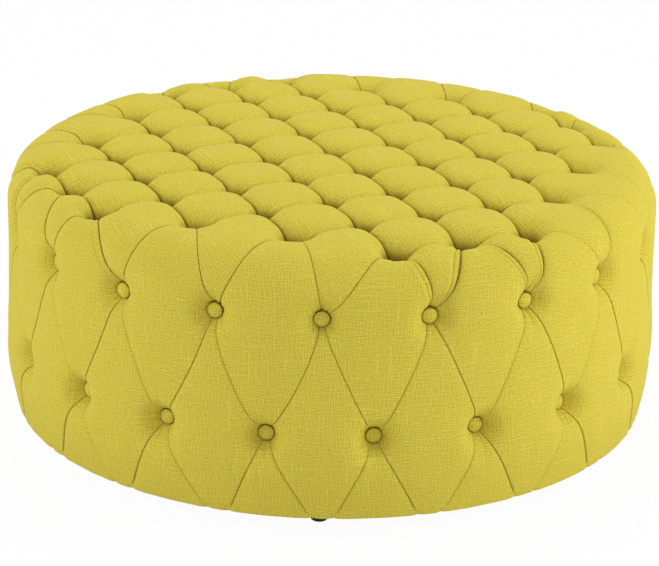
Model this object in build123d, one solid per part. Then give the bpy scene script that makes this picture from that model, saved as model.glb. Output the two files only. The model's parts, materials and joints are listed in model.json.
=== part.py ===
"""A round, low ottoman table: a plywood drum under foam, fibre wadding and a button-tufted cover.

Millimetres, +Z up. The origin is on the floor, at the middle of the drum. The lattice of the top
buttons runs along X and Y.
"""

from build123d import *
import os
from collections import namedtuple
from math import atan2, cos, degrees, hypot, isclose, pi, sin, sqrt

# Outer form, taken at the crowns of the pillows
overall_diameter = 1000.0
crown_height = 416.6
middle_rise = 5.0
rim_radius = 62.0
draw_in_height = 134.0
hem_draw_in = 9.0

# Tufting
lattice_pitch = 105.7
lattice_reach_share = 4.2
upper_ring_height = 322.1
lower_ring_height = 148.0
hem_pleat_spread = 17.0
top_button_sink = 40.0
side_button_sink = 25.0
hem_sink = 6.0
top_pleat_sink = 13.0
rim_pleat_sink = 8.0
side_pleat_sink = 6.0
hem_wave_sink = 1.0

# Soft layers
cover_thickness = 1.2
layer_gap = 0.3
hem_width = 65.0
wadding_at_side_buttons = 3.2
side_foam_thickness = 12.0
top_foam_thickness = 26.0
top_foam_edge_radius = 8.0
wadding_at_top_buttons = 6.5
foam_hole_radius = 3.0

# Timber frame
wall_thickness = 4.0
glue_gap = 0.2
deck_thickness = 12.0
base_ring_thickness = 18.0
base_ring_width = 84.0
post_depth = 30.0
post_width = 40.0
posts_per_turn = 8
post_edge_radius = 2.0
rail_width = 20.0
rail_depth = 40.0
rail_end_gap = 1.0
halving_gap = 0.2

# Buttons and their twine
button_radius = 11.0
button_rise = 3.6
button_edge = 1.6
back_radius = 9.0
back_tip_radius = 2.6
top_seat_height = 4.4
side_seat_height = 3.2
seat_gap = 0.4
twine_radius = 0.8
twine_gap = 0.2
twine_in_back = 1.5
board_hole_radius = 2.5
toggle_radius = 7.5
toggle_thickness = 3.0
toggle_gap = 0.2
knot_radius = 2.2

# Feet
foot_height = 24.0
foot_top_radius = 14.0
foot_bottom_radius = 12.5
foot_setback = 32.0
feet_per_turn = 4
first_foot_step_share = 3.5
foot_recess_depth = 12.6
foot_recess_radius = 5.5

# Underside
dust_cover_thickness = 0.6
dust_cover_overlap = 30.0
staples_per_turn = 40
staple_crown = 10.0
staple_wire_width = 1.2
staple_wire_thickness = 0.6
staple_leg = 9.0
staple_gap = 0.1
staple_inset = 9.0

# Screws
screw_gap = 0.2
frame_screw_radius = 2.0
frame_screw_head_radius = 4.0
frame_screw_head_height = 2.6
deck_screw_length = 50.0
base_screw_length = 45.0
rail_screw_length = 35.0
foot_screw_radius = 2.5
foot_screw_head_radius = 4.8
foot_screw_head_height = 3.0
foot_screw_length = 24.0

# One overrun for every cut that passes right through
overrun = 5.0

# Places that follow from the sizes above
outer_radius = overall_diameter / 2
top_flat_radius = outer_radius - rim_radius
rim_end = top_flat_radius + rim_radius * pi / 2
shoulder_height = crown_height - rim_radius
hem_height = foot_height + dust_cover_thickness
hem_crown_radius = outer_radius - hem_draw_in
hem_inner_radius = hem_crown_radius - hem_sink - hem_width
frame_bottom = hem_height + cover_thickness
soft_bottom = frame_bottom + layer_gap
soft_inset = cover_thickness + layer_gap
foam_radius = outer_radius - side_button_sink - soft_inset - wadding_at_side_buttons - layer_gap
wall_outer_radius = foam_radius - side_foam_thickness - glue_gap
wall_inner_radius = wall_outer_radius - wall_thickness
frame_radius = wall_inner_radius - glue_gap
foam_top = crown_height - top_button_sink - soft_inset - wadding_at_top_buttons - layer_gap
deck_top = foam_top - top_foam_thickness
deck_bottom = deck_top - deck_thickness
base_ring_top = frame_bottom + base_ring_thickness
post_outer = sqrt((frame_radius - glue_gap) ** 2 - (post_width / 2) ** 2)
post_centre_radius = post_outer - post_depth / 2
foot_centre_radius = hem_crown_radius - hem_sink - foot_setback - foot_top_radius
dust_cover_radius = hem_inner_radius + dust_cover_overlap
staple_circle_radius = dust_cover_radius - staple_inset
rail_offset = lattice_pitch / 2

# A point of the unrolled cover that is held down: x, y, how deep it is sunk, and which ring it is in
Tuft = namedtuple("Tuft", "x y sink ring")

PLEAT_SINKS = {
    frozenset(["top"]): top_pleat_sink,
    frozenset(["top", "upper"]): rim_pleat_sink,
    frozenset(["upper", "lower"]): side_pleat_sink,
    frozenset(["lower", "hem"]): side_pleat_sink,
    frozenset(["hem"]): hem_wave_sink,
}


# Geometry of the unrolled cover: a flat disc whose distance from the middle is measured along the
# top, over the rim and down the side

def on_circle(radius, angle):
    """A point of a circle about the origin, the angle in radians."""
    return radius * cos(angle), radius * sin(angle)


def turn_between(start, end):
    """The signed angle from one direction to another, within half a turn."""
    return (end - start + pi) % (2 * pi) - pi


def unrolled_distance(height):
    """How far from the middle of the unrolled cover a height of the side lies."""
    return rim_end + shoulder_height - height


def form_point(x, y, sink, lift=0):
    """The place in space of a point of the unrolled cover, sunk inwards, then lifted.

    On the rim the sink leans over more slowly than the surface, so the dimples beside it stay round.
    """
    along = hypot(x, y)
    if along <= top_flat_radius:
        radius = along
        height = crown_height + middle_rise * (1 - (along / top_flat_radius) ** 2) - sink
    elif along < rim_end:
        tilt = (along - top_flat_radius) / rim_radius
        lean = tilt ** 2 * 2 / pi
        radius = top_flat_radius + rim_radius * sin(tilt) - sink * sin(lean)
        height = shoulder_height + rim_radius * cos(tilt) - sink * cos(lean)
    else:
        height = shoulder_height - (along - rim_end)
        below = max(0, hem_height + draw_in_height - height) / draw_in_height
        radius = outer_radius - hem_draw_in * below ** 2 - sink
    return Vector(*on_circle(radius, atan2(y, x)), height + lift)


# The tufts and the panels between them

def lattice():
    """The columns and rows of the top buttons."""
    reach = int(lattice_reach_share) + 1
    span = range(-reach, reach + 1)
    return [(i, j) for i in span for j in span if hypot(i, j) <= lattice_reach_share]


def boundary(nodes):
    """The outermost top buttons, anticlockwise from +X: those with a missing neighbour."""
    steps = ((1, 0), (-1, 0), (0, 1), (0, -1))
    outer = [n for n in nodes if any((n[0] + a, n[1] + b) not in nodes for a, b in steps)]
    return sorted(outer, key=lambda n: atan2(n[1], n[0]) % (2 * pi))


NODES = lattice()
BOUNDARY = boundary(NODES)
SIDE_COUNT = len(BOUNDARY)
SIDE_STEP = 2 * pi / SIDE_COUNT


def top_tuft(node):
    return Tuft(node[0] * lattice_pitch, node[1] * lattice_pitch, top_button_sink, "top")


def upper_tuft(m):
    place = on_circle(unrolled_distance(upper_ring_height), (m + 1 / 2) * SIDE_STEP)
    return Tuft(*place, side_button_sink, "upper")


def lower_tuft(m):
    place = on_circle(unrolled_distance(lower_ring_height), m * SIDE_STEP)
    return Tuft(*place, side_button_sink, "lower")


def hem_tuft(m, side):
    """Where the pleat on one side (-1 or 1) of a lower button meets the hem."""
    angle = (m + side / 2) * SIDE_STEP - side * hem_pleat_spread / hem_crown_radius
    return Tuft(*on_circle(unrolled_distance(hem_height), angle), hem_sink, "hem")


def lobe(m):
    """The panel that rolls over the rim from two boundary buttons to the upper button between them."""
    first, second = BOUNDARY[m], BOUNDARY[(m + 1) % SIDE_COUNT]
    corners = [top_tuft(first), upper_tuft(m), top_tuft(second)]
    if first[0] != second[0] and first[1] != second[1]:
        inner = min((first[0], second[1]), (second[0], first[1]), key=lambda n: hypot(*n))
        corners.append(top_tuft(inner))
    return corners


def top_panels():
    """The square pillows of the top, then the lobes of the rim."""
    cells = [[(i, j), (i + 1, j), (i + 1, j + 1), (i, j + 1)] for i, j in NODES]
    pillows = [[top_tuft(n) for n in cell] for cell in cells if all(n in NODES for n in cell)]
    return pillows + [lobe(m) for m in range(SIDE_COUNT)]


def side_panels():
    """For each step of the side: the tall diamond, the wide panel below it and the hem's triangle."""
    panels = []
    for m in range(SIDE_COUNT):
        last, this, lower, following = upper_tuft(m - 1), upper_tuft(m), lower_tuft(m), lower_tuft(m + 1)
        panels.append([top_tuft(BOUNDARY[m]), last, lower, this])
        panels.append([this, lower, hem_tuft(m, 1), hem_tuft(m + 1, -1), following])
        panels.append([lower, hem_tuft(m, -1), hem_tuft(m, 1)])
    return panels


# Surfaces of the panels

def between(start, end, share, straight):
    """A point on the way between two points: straight, or at a steady turn about the middle."""
    if straight:
        return tuple(a + (b - a) * share for a, b in zip(start, end))
    near, far = hypot(*start), hypot(*end)
    angle = atan2(start[1], start[0])
    turn = turn_between(angle, atan2(end[1], end[0]))
    return on_circle(near + (far - near) * share, angle + turn * share)


def pleat_between(tuft, other):
    """The sink at the middle of the pleat between two tufts, and its route as a function of the share."""
    rings = frozenset([tuft.ring, other.ring])
    straight = "top" in rings
    return PLEAT_SINKS[rings], lambda share: between(tuft[:2], other[:2], share, straight)


def panel_centre(panel, straight):
    if straight:
        return tuple(sum(values) / len(panel) for values in zip(*[tuft[:2] for tuft in panel]))
    first = atan2(panel[0].y, panel[0].x)
    turns = [turn_between(first, atan2(tuft.y, tuft.x)) for tuft in panel]
    distance = sum(hypot(tuft.x, tuft.y) for tuft in panel) / len(panel)
    return on_circle(distance, first + sum(turns) / len(panel))


def dimple(share):
    """1 at a button and 0 at the middle of a pleat, level at both."""
    return (1 - share) ** 2 * (1 + 2 * share)


def crease(share):
    """1 on a pleat, where it is steep, and 0 at a crown, where it is level."""
    return (1 - share) ** 2


def control_points(points):
    """The control points of the cubic that runs through four evenly spaced points."""
    a, b, c, d = points
    return [a, (a * -5 + b * 18 - c * 9 + d * 2) / 6, (a * 2 - b * 9 + c * 18 - d * 5) / 6, d]


def corner_face(panel, k, inset):
    """The part of a panel next to its corner k: from the tuft to two mid-pleats and the crown."""
    tuft = panel[k]
    straight = all(corner.ring in ("top", "upper") for corner in panel)
    next_sink, next_pleat = pleat_between(tuft, panel[(k + 1) % len(panel)])
    last_sink, last_pleat = pleat_between(tuft, panel[k - 1])
    next_mid, last_mid = next_pleat(1 / 2), last_pleat(1 / 2)
    crown = panel_centre(panel, straight)
    rows = []
    for u in (0, 1 / 3, 2 / 3, 1):
        row = []
        for v in (0, 1 / 3, 2 / 3, 1):
            sides = zip(
                next_pleat(u / 2), between(last_mid, crown, u, straight),
                last_pleat(v / 2), between(next_mid, crown, v, straight),
                tuft[:2], next_mid, last_mid, crown,
            )
            x, y = (
                (1 - v) * low + v * high + (1 - u) * left + u * right
                - (1 - u) * (1 - v) * a - u * (1 - v) * b - (1 - u) * v * c - u * v * d
                for low, high, left, right, a, b, c, d in sides
            )
            sink = (
                next_sink * crease(v) * (1 - dimple(u))
                + last_sink * crease(u) * (1 - dimple(v))
                + tuft.sink * dimple(u) * dimple(v)
            )
            lift = inset if isclose(hypot(x, y), unrolled_distance(hem_height)) else 0
            row.append(form_point(x, y, sink + inset, lift))
        rows.append(control_points(row))
    columns = [control_points(column) for column in zip(*rows)]
    return Face.make_bezier_surface(columns)


def tufted_faces(panels, inset):
    """The faces of some panels, that far under the outside of the cover."""
    return [corner_face(panel, k, inset) for panel in panels for k in range(len(panel))]


def half_pleat(tuft, other, inset):
    """The control points of the line from a tuft to the middle of a pleat."""
    sink, pleat = pleat_between(tuft, other)
    points = []
    for u in (0, 1 / 3, 2 / 3, 1):
        depth = sink * (1 - dimple(u)) + tuft.sink * dimple(u) + inset
        lift = inset if tuft.ring == other.ring == "hem" else 0
        points.append(form_point(*pleat(u / 2), depth, lift))
    return control_points(points)


def seam_faces():
    """The cut edges of the cover's two pieces, along the zigzag of pleats on the rim."""
    faces = []
    for m in range(SIDE_COUNT):
        for node in (BOUNDARY[m], BOUNDARY[(m + 1) % SIDE_COUNT]):
            for ends in ((top_tuft(node), upper_tuft(m)), (upper_tuft(m), top_tuft(node))):
                rows = [half_pleat(*ends, 0), half_pleat(*ends, cover_thickness)]
                faces.append(Face.make_bezier_surface(rows))
    return faces


def hem_disc(inset):
    """The flat face that closes the form at its hem."""
    corners = [hem_tuft(m, side) for m in range(SIDE_COUNT) for side in (-1, 1)]
    edges = []
    for k, corner in enumerate(corners):
        last = corners[k - 1]
        edges.append(Edge.make_bezier(*half_pleat(last, corner, inset)))
        edges.append(Edge.make_bezier(*reversed(half_pleat(corner, last, inset))))
    return Face(Wire(edges))


# Places and tools

def disc(radius, bottom, top):
    """A round plate or bar about the Z axis."""
    return Pos(0, 0, bottom) * Cylinder(radius, top - bottom, align=(Align.CENTER, Align.CENTER, Align.MIN))


def ring(outer, inner, bottom, top):
    return disc(outer, bottom, top) - disc(inner, bottom - overrun, top + overrun)


def outwards(angle, radius, height):
    """A place on the side whose own Z axis points away from the middle, the angle in degrees."""
    return Rot(0, 0, angle) * Pos(radius, 0, height) * Rot(0, 90, 0)


def top_seats():
    """The place of each top button: its vertex on the cover, with Z upwards."""
    return [Pos(*form_point(*top_tuft(node)[:3])) for node in NODES]


def ring_seats(tufts):
    """The place of each button of a side ring, with Z outwards."""
    seats = []
    for tuft in tufts:
        point = form_point(*tuft[:3])
        seats.append(outwards(degrees(atan2(point.Y, point.X)), hypot(point.X, point.Y), point.Z))
    return seats


TOP_SEATS = top_seats()
UPPER_SEATS = ring_seats([upper_tuft(m) for m in range(SIDE_COUNT)])
LOWER_SEATS = ring_seats([lower_tuft(m) for m in range(SIDE_COUNT)])
SIDE_SEATS = UPPER_SEATS + LOWER_SEATS
POST_ANGLES = [(k + 1 / 2) * 360 / posts_per_turn for k in range(posts_per_turn)]
FOOT_ANGLES = [
    degrees(SIDE_STEP) * first_foot_step_share + k * 360 / feet_per_turn for k in range(feet_per_turn)
]
STAPLE_ANGLES = [(k + 1 / 2) * 360 / staples_per_turn for k in range(staples_per_turn)]


def bores(seats, radius, depth):
    """Drills of one radius at each seat, from beyond the seat to a depth under it."""
    drill = Pos(0, 0, -depth) * Cylinder(
        radius, depth + top_button_sink, align=(Align.CENTER, Align.CENTER, Align.MIN))
    return [seat * drill for seat in seats]


def copies(places, shape):
    """The same solid at several places, as a group of separate solids."""
    return Compound(children=[place * shape for place in places])


def countersunk(radius, head_radius, head_height, length):
    """A wood screw with its head's flat face at its own origin and its shank along -Z."""
    shank = Pos(0, 0, -length) * Cylinder(radius, length, align=(Align.CENTER, Align.CENTER, Align.MIN))
    head = Pos(0, 0, -head_height) * Cone(
        radius, head_radius, head_height, align=(Align.CENTER, Align.CENTER, Align.MIN))
    return shank + head


def frame_screw(length, gap=0):
    """A screw of the frame, or with a gap the hole that it goes in."""
    return countersunk(
        frame_screw_radius + gap, frame_screw_head_radius + gap, frame_screw_head_height, length + gap)


def rail_screw_places():
    """On each rail: its middle, and clear of the lattice near both ends."""
    reach = int(lattice_reach_share) - 1
    spots = [(k * lattice_pitch, side * rail_offset) for k in (-reach, 0, reach) for side in (-1, 1)]
    return [Pos(x, y, deck_top) for x, y in spots] + [Pos(y, x, deck_top) for x, y in spots]


def deck_screw_places():
    return [Rot(0, 0, angle) * Pos(post_centre_radius, 0, deck_top) for angle in POST_ANGLES]


def base_screw_places():
    return [
        Rot(0, 0, angle) * Pos(post_centre_radius, 0, frame_bottom) * Rot(180, 0, 0)
        for angle in POST_ANGLES
    ]


def foot_places():
    return [Rot(0, 0, angle) * Pos(foot_centre_radius, 0, 0) for angle in FOOT_ANGLES]


def staple_places():
    return [
        Rot(0, 0, angle) * Pos(staple_circle_radius, 0, foot_height) for angle in STAPLE_ANGLES
    ]


def foot_screw(gap=0):
    """A pan-head screw in its foot's recess, or with a gap the hole that it goes in."""
    start = foot_recess_depth
    shank = disc(foot_screw_radius + gap, start, start + foot_screw_length + gap)
    return shank + disc(foot_screw_head_radius, start - foot_screw_head_height, start)


def staple():
    """A staple with its crown under the dust cover and its legs up in the base ring."""
    side = staple_crown / 2 - staple_wire_thickness / 2
    low = (Align.CENTER, Align.CENTER, Align.MIN)
    high = (Align.CENTER, Align.CENTER, Align.MAX)
    crown = Box(staple_wire_width, staple_crown, staple_wire_thickness, align=high)
    legs = [Pos(0, s * side, 0) * Box(staple_wire_width, staple_wire_thickness, staple_leg, align=low)
            for s in (-1, 1)]
    return crown + legs


def staple_slots():
    """The slits of every staple's legs."""
    side = staple_crown / 2 - staple_wire_thickness / 2
    low = (Align.CENTER, Align.CENTER, Align.MIN)
    slit = Box(staple_wire_width + 2 * staple_gap, staple_wire_thickness + 2 * staple_gap,
               staple_leg + staple_gap, align=low)
    return [place * Pos(0, s * side, 0) * slit for place in staple_places() for s in (-1, 1)]


def foot_screw_holes():
    return [place * foot_screw(screw_gap) for place in foot_places()]


# Soft pieces

def cover_top():
    """The top of the cover, with its lobes, as one skin."""
    panels = top_panels()
    shell = Shell(tufted_faces(panels, 0) + tufted_faces(panels, cover_thickness) + seam_faces())
    return Solid(shell) - bores(TOP_SEATS, twine_radius + twine_gap, top_button_sink)


def cover_side():
    """The side of the cover, turned in under the hem."""
    panels = side_panels()
    faces = tufted_faces(panels, 0) + tufted_faces(panels, cover_thickness) + seam_faces()
    skin = Solid(Shell(faces + [hem_disc(0), hem_disc(cover_thickness)]))
    opening = disc(hem_inner_radius, hem_height - overrun, frame_bottom + overrun)
    bores_in = bores(SIDE_SEATS, twine_radius + twine_gap, side_button_sink)
    return skin - [opening] - bores_in - foot_screw_holes() - staple_slots()


def wadding():
    """Fibre between the foam and the cover, which fills every pillow."""
    faces = tufted_faces(top_panels() + side_panels(), soft_inset)
    filled = Solid(Shell(faces + [hem_disc(soft_inset)]))
    core = disc(foam_radius + layer_gap, hem_height, foam_top + layer_gap)
    depth = top_button_sink
    pierced = bores(TOP_SEATS + SIDE_SEATS, twine_radius + twine_gap, depth)
    return filled - core - pierced


def foam_top_slab():
    """The foam on the deck, out over the side foam."""
    slab = disc(foam_radius, deck_top, foam_top)
    slab = fillet(slab.edges().sort_by(Axis.Z)[-1], top_foam_edge_radius)
    return slab - bores(TOP_SEATS, foam_hole_radius, top_button_sink + top_foam_thickness)


def foam_side_band():
    band = ring(foam_radius, wall_outer_radius + glue_gap, soft_bottom, deck_top)
    return band - bores(SIDE_SEATS, foam_hole_radius, side_button_sink + side_foam_thickness)


def dust_cover():
    """Thin black cloth over the whole underside."""
    cloth = disc(dust_cover_radius, foot_height, hem_height)
    return cloth - foot_screw_holes() - staple_slots()


# Frame pieces

def deck_board():
    board = disc(frame_radius, deck_bottom, deck_top)
    board -= bores(TOP_SEATS, board_hole_radius, crown_height - deck_bottom)
    board -= [place * frame_screw(deck_screw_length, screw_gap) for place in deck_screw_places()]
    return board - [place * frame_screw(rail_screw_length, screw_gap) for place in rail_screw_places()]


def side_wall():
    """Thin plywood bent round the deck and the base ring."""
    wall = ring(wall_outer_radius, wall_inner_radius, frame_bottom, deck_top)
    return wall - bores(SIDE_SEATS, board_hole_radius, outer_radius - wall_inner_radius)


def base_ring():
    plate = ring(frame_radius, frame_radius - base_ring_width, frame_bottom, base_ring_top)
    plate -= [place * frame_screw(base_screw_length, screw_gap) for place in base_screw_places()]
    return plate - foot_screw_holes() - staple_slots()


def posts():
    height = deck_bottom - base_ring_top
    post = Box(post_depth, post_width, height, align=(Align.CENTER, Align.CENTER, Align.MIN))
    post = fillet(post.edges().filter_by(Axis.Z), post_edge_radius)
    post = Pos(post_centre_radius, 0, base_ring_top) * post
    post -= Pos(post_centre_radius, 0, deck_top) * frame_screw(deck_screw_length, screw_gap)
    post -= (Pos(post_centre_radius, 0, frame_bottom) * Rot(180, 0, 0)
             * frame_screw(base_screw_length, screw_gap))
    return copies([Rot(0, 0, angle) for angle in POST_ANGLES], post)


def rail(side, notch_side):
    """A rail along X under the deck, halved over the two rails along Y.

    side is -1 or 1 for its place, and notch_side is 1 for notches in its upper half.
    """
    far = rail_offset + rail_width / 2
    length = 2 * (sqrt(frame_radius ** 2 - far ** 2) - rail_end_gap)
    bar = Pos(0, side * rail_offset, deck_bottom - rail_depth / 2) * Box(length, rail_width, rail_depth)
    notch_depth = rail_depth / 2 + halving_gap / 2
    notch = Box(rail_width + halving_gap, rail_width + overrun, notch_depth)
    height = deck_bottom - rail_depth / 2 + notch_side * (rail_depth / 2 - notch_depth / 2)
    return bar - [Pos(s * rail_offset, side * rail_offset, height) * notch for s in (-1, 1)]


def rails(angle, notch_side):
    """Two parallel rails, turned about the middle."""
    turned = [Rot(0, 0, angle) * rail(side, notch_side) for side in (-1, 1)]
    holes = [place * frame_screw(rail_screw_length, screw_gap) for place in rail_screw_places()]
    return Compound(children=[bar - holes for bar in turned])


# Buttons and twine

def button_cap(seat_height):
    """The covered cap of a button, its own Z along the twine."""
    dome_radius = (button_radius ** 2 + button_rise ** 2) / (2 * button_rise)
    cap = disc(button_radius, seat_height, seat_height + button_edge)
    ball = Pos(0, 0, seat_height + button_edge + button_rise - dome_radius) * Sphere(dome_radius)
    dome = ball & disc(button_radius, seat_height + button_edge, seat_height + button_edge + button_rise)
    return cap + dome


def button_back(seat_height):
    """The bowl-shaped back of a button, bored for the twine."""
    height = seat_height - seat_gap
    bowl = Pos(0, 0, seat_gap) * Cone(
        back_tip_radius, back_radius, height, align=(Align.CENTER, Align.CENTER, Align.MIN))
    return bowl - disc(twine_radius + twine_gap, 0, seat_gap + twine_in_back + twine_gap)


def twine(length):
    """A tied length of twine from a button's back to the knot behind its toggle."""
    return disc(twine_radius, -length, seat_gap + twine_in_back) + Pos(0, 0, -length) * Sphere(knot_radius)


def toggle():
    """The disc that the twine is tied off on, its outer face at its own origin."""
    return ring(toggle_radius, twine_radius + twine_gap, -toggle_thickness, 0)


def toggle_seat_depth(seat_radius):
    """From a side button's seat to the flat toggle's face inside the curved wall."""
    return seat_radius - sqrt(wall_inner_radius ** 2 - toggle_radius ** 2) + toggle_gap


def top_toggle_depth(seat):
    return seat.position.Z - deck_bottom


def side_toggle_depth():
    return toggle_seat_depth(outer_radius - side_button_sink)


def lower_seat_shift(seats):
    """How much nearer to the middle some side seats are than the upper ring's."""
    return outer_radius - side_button_sink - hypot(seats[0].position.X, seats[0].position.Y)


def top_button_twines():
    """Each length of twine is as long as its own button is high over the deck's underside."""
    tied = []
    for seat in TOP_SEATS:
        length = top_toggle_depth(seat) + toggle_thickness + knot_radius
        tied.append(seat * twine(length))
    return Compound(children=tied)


def side_button_twines(seats):
    length = side_toggle_depth() - lower_seat_shift(seats) + toggle_thickness + knot_radius
    return copies(seats, twine(length))


def top_toggles():
    return Compound(children=[
        seat * Pos(0, 0, -top_toggle_depth(seat)) * toggle() for seat in TOP_SEATS
    ])


def side_toggles():
    turned = []
    for seats in (UPPER_SEATS, LOWER_SEATS):
        depth = side_toggle_depth() - lower_seat_shift(seats)
        turned += [seat * Pos(0, 0, -depth) * toggle() for seat in seats]
    return Compound(children=turned)


def foot():
    """A plain round plastic foot with a recess for its screw's head."""
    body = Cone(foot_bottom_radius, foot_top_radius, foot_height,
                align=(Align.CENTER, Align.CENTER, Align.MIN))
    recess = disc(foot_recess_radius, -overrun, foot_recess_depth)
    return body - recess - disc(foot_screw_radius + screw_gap, 0, foot_height + overrun)


def parts():
    """Every node's name and the function that makes it."""
    return {
        "cover_top": cover_top,
        "cover_side": cover_side,
        "wadding": wadding,
        "foam_top": foam_top_slab,
        "foam_side": foam_side_band,
        "deck_board": deck_board,
        "side_wall": side_wall,
        "base_ring": base_ring,
        "posts": posts,
        "long_rails": lambda: rails(0, 1),
        "cross_rails": lambda: rails(90, -1),
        "deck_screws": lambda: copies(deck_screw_places(), frame_screw(deck_screw_length)),
        "rail_screws": lambda: copies(rail_screw_places(), frame_screw(rail_screw_length)),
        "base_screws": lambda: copies(base_screw_places(), frame_screw(base_screw_length)),
        "dust_cover": dust_cover,
        "staples": lambda: copies(staple_places(), staple()),
        "feet": lambda: copies(foot_places(), foot()),
        "foot_screws": lambda: copies(foot_places(), foot_screw()),
        "top_buttons": lambda: copies(TOP_SEATS, button_cap(top_seat_height)),
        "upper_side_buttons": lambda: copies(UPPER_SEATS, button_cap(side_seat_height)),
        "lower_side_buttons": lambda: copies(LOWER_SEATS, button_cap(side_seat_height)),
        "top_button_backs": lambda: copies(TOP_SEATS, button_back(top_seat_height)),
        "side_button_backs": lambda: copies(SIDE_SEATS, button_back(side_seat_height)),
        "top_button_twines": top_button_twines,
        "upper_side_twines": lambda: side_button_twines(UPPER_SEATS),
        "lower_side_twines": lambda: side_button_twines(LOWER_SEATS),
        "top_toggles": top_toggles,
        "side_toggles": side_toggles,
    }


os.makedirs("parts", exist_ok=True)
for name, make in parts().items():
    export_step(make(), f"parts/{name}.step")
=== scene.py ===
"""Looks of a round, button-tufted ottoman table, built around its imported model.

Metres, +Z up, the same frame as the model. The cover is shaped panel by panel between the buttons,
on an unrolled cover whose distance from the middle runs along the top, over the rim and down the side.
"""

import json
import math
from collections import namedtuple

import bmesh
import bpy
import numpy as np
from mathutils import Matrix, Vector


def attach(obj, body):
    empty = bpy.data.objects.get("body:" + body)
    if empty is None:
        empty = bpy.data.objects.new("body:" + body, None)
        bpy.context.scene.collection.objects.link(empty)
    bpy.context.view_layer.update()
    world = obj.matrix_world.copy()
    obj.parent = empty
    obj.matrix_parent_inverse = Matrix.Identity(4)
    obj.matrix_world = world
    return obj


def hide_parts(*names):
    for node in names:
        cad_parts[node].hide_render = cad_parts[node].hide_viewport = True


MM = 0.001
TINY = 1e-9

# The photograph's view, fitted to the buttons and the hem
CAMERA_LENS = 130.045
CAMERA_DISTANCE = 3.74676
CAMERA_ELEVATION = math.radians(20.382)
CAMERA_TURN = math.radians(25.677)
CAMERA_ROLL = math.radians(0.989)
TARGET_HEIGHT = 0.19670
TARGET_SHIFT = -0.00118
FRONT_ANGLE = -math.pi / 2 - CAMERA_TURN

# Buttons, with how far inside the radius and how high over the seat each point of their edge lies
BUTTON_RADIUS = 11 * MM
BUTTON_RISE = 3.6 * MM
BUTTON_EDGE = 1.6 * MM
BUTTON_HOLLOW = 0.2 * MM
BUTTON_EDGE_POINTS = [
    (3 * MM, 0.1 * MM),
    (1.2 * MM, 0),
    (0.35 * MM, 0.3 * MM),
    (0, 0.9 * MM),
    (0.12 * MM, BUTTON_EDGE),
    (0.7 * MM, BUTTON_EDGE + 0.62 * MM),
]
BUTTON_DOME_RADII = [radius * MM for radius in (9.4, 8.2, 6.6, 4.8, 3.0, 1.4, 0.0)]
BUTTON_SEGMENTS = 40
BUTTON_SHARP_ANGLE = math.radians(50)
BUTTON_CLOTH_STEP = 50 * MM
TOP_SEAT_HEIGHT = 4.4 * MM
SIDE_SEAT_HEIGHT = 3.2 * MM

# Outer form, as the model has it
OUTER_RADIUS = 500 * MM
CROWN_HEIGHT = 416.6 * MM
MIDDLE_RISE = 5 * MM
RIM_RADIUS = 62 * MM
DRAW_IN_HEIGHT = 134 * MM
HEM_DRAW_IN = 9 * MM
HEM_HEIGHT = 24.6 * MM
HEM_INNER_RADIUS = 420 * MM
HEM_ROUNDING = 3 * MM

# Tufting, as the model has it: the lattice reaches so many pitches from the middle
LATTICE_PITCH = 105.7 * MM
LATTICE_REACH = 4.2
UPPER_RING_HEIGHT = 322.1 * MM
LOWER_RING_HEIGHT = 148 * MM
TOP_BUTTON_SINK = 40 * MM
SIDE_BUTTON_SINK = 25 * MM

# Where the pleats meet the hem: how far short of the middle between two lower buttons, by how much
# that differs by chance, how far all of them lie to one side, and how deep
HEM_PLEAT_SPREAD = 16 * MM
HEM_PLEAT_CHANCE = 3 * MM
HEM_PLEAT_SHIFT = 7 * MM
HEM_SINK = 4 * MM

# The hem turns level under the frame: how far in its first rows of points lie
HEM_ROWS = (4 * MM, 12 * MM, 30 * MM)

# What makes a repeatable number look like chance, and which number each kind of chance starts from
CHANCE_FACTORS = (12.9898, 78.233, 37.719)
CHANCE_SPREAD = 43758.5453
BOW_CHANCE, DEPTH_CHANCE, SWELL_CHANCE, HEM_CHANCE = 1, 2, 3, 4
CREASE_TURN_CHANCE = 10
CREASE_DEPTH_CHANCE = 20

# How a pleat lies in the padding, seen from the button named first: its depth at the middle, how much
# deeper it starts at that button, and how wide the padding bends down to it. A share of that bend is
# wider by a factor. With a fullness, the padding stands as round as a cushion beside the pleat instead.
Pleat = namedtuple("Pleat", "middle extra width fullness")
TOP_PLEAT = Pleat(27 * MM, 3 * MM, 0, 3.2)
SHOULDER_PLEAT = Pleat(3.5 * MM, 5 * MM, 9 * MM, 0)
SIDE_PLEAT = Pleat(2.4 * MM, 3 * MM, 10 * MM, 0)
PLEATS = {(ring, other): TOP_PLEAT for ring in ("top", "rim") for other in ("top", "rim")}
PLEATS |= {
    ("rim", "upper"): SHOULDER_PLEAT,
    ("upper", "rim"): SHOULDER_PLEAT,
    ("upper", "lower"): SIDE_PLEAT,
    ("lower", "upper"): SIDE_PLEAT,
    ("lower", "hem"): SIDE_PLEAT,
    ("hem", "lower"): SIDE_PLEAT._replace(extra=0),
    ("hem", "hem"): Pleat(1 * MM, 0, 10 * MM, 0),
}
PLEAT_START = 16 * MM
PLEAT_UNEVENNESS = 0.12
WIDE_BEND_SHARE = 0.45
WIDE_BEND_FACTOR = 3

# How a button draws the padding in: a seat as wide as the button, a wall round it, and a broad hollow
# that takes a share of the depth
Dimple = namedtuple("Dimple", "seat reach fullness broad_share broad_radius")
SIDE_DIMPLE = Dimple(12.2 * MM, 24 * MM, 1.6, 0.45, 26 * MM)
DIMPLES = {
    "top": Dimple(10.6 * MM, 32 * MM, 2.4, 0, 1),
    "rim": Dimple(10.6 * MM, 38 * MM, 2.0, 0.2, 30 * MM),
    "upper": SIDE_DIMPLE,
    "lower": SIDE_DIMPLE,
    "hem": Dimple(0, 15 * MM, 1.8, 0, 1),
}
BROAD_STEEPNESS = 2.6

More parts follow.
